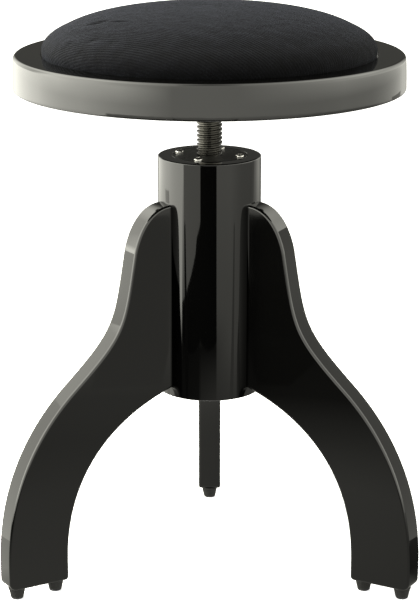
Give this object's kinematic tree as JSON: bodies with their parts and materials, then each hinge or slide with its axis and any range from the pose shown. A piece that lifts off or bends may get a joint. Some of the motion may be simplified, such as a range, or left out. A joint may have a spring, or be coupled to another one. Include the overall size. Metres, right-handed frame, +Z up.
{
  "type": "round piano stool",
  "caption": "Round padded piano stool on curved plank legs; its seat winds up and down on a steel screw in a turned hub.",
  "frame": {"origin": "on the floor, at the centre of the stool's bounding box in plan", "axes": "+Z up along the seat screw; +Y from the screw towards the rear leg; +X to the right leg's side, seen with the rear leg behind"},
  "size_m": [0.375, 0.3864, 0.5204],
  "materials": {
    "black_lacquer": "gloss",
    "seat_cloth": "matte",
    "seat_foam": "matte",
    "plywood": "matte",
    "beech": "matte",
    "screw_steel": "satin",
    "black_iron": "satin",
    "zinc": "satin",
    "nylon": "satin",
    "foot_rubber": "matte"
  },
  "bodies": {
    "base": {"hub": "black_lacquer", "nut_flange": "black_iron", "flange_screw_1": "zinc", "flange_screw_2": "zinc", "flange_screw_3": "zinc", "flange_screw_4": "zinc", "leg_rear": "black_lacquer", "leg_left": "black_lacquer", "leg_right": "black_lacquer", "dowel_rear_upper": "beech", "dowel_rear_lower": "beech", "dowel_left_upper": "beech", "dowel_left_lower": "beech", "dowel_right_upper": "beech", "dowel_right_lower": "beech", "foot_rear_inner": "foot_rubber", "foot_rear_outer": "foot_rubber", "foot_left_inner": "foot_rubber", "foot_left_outer": "foot_rubber", "foot_right_inner": "foot_rubber", "foot_right_outer": "foot_rubber", "foot_screw_rear_inner": "zinc", "foot_screw_rear_outer": "zinc", "foot_screw_left_inner": "zinc", "foot_screw_left_outer": "zinc", "foot_screw_right_inner": "zinc", "foot_screw_right_outer": "zinc"},
    "collar": {"guide_collar": "nylon"},
    "seat": {"cushion_cover": "seat_cloth", "cushion_foam": "seat_foam", "cushion_board": "plywood", "seat_disc": "black_lacquer", "board_screw_1": "zinc", "board_screw_2": "zinc", "board_screw_3": "zinc", "board_screw_4": "zinc", "seat_plate": "black_iron", "plate_screw_1": "zinc", "plate_screw_2": "zinc", "plate_screw_3": "zinc", "plate_screw_4": "zinc", "spindle": "screw_steel", "end_washer": "zinc", "end_screw": "zinc"}
  },
  "joints": [
    {"name": "seat_lift", "type": "slide", "parent": "base", "child": "collar", "axis": [0, 0, 1], "range_m": [-0.044, 0.076]},
    {"name": "seat_turn", "type": "hinge", "parent": "collar", "child": "seat", "pos_m": [0, -0.0181, 0.45], "axis": [0, 0, 1], "range_deg": [-3960, 6840]}
  ],
  "couplings": [
    {"joint": "seat_lift", "follows": "seat_turn", "m_per_rad": 0.00063662}
  ]
}
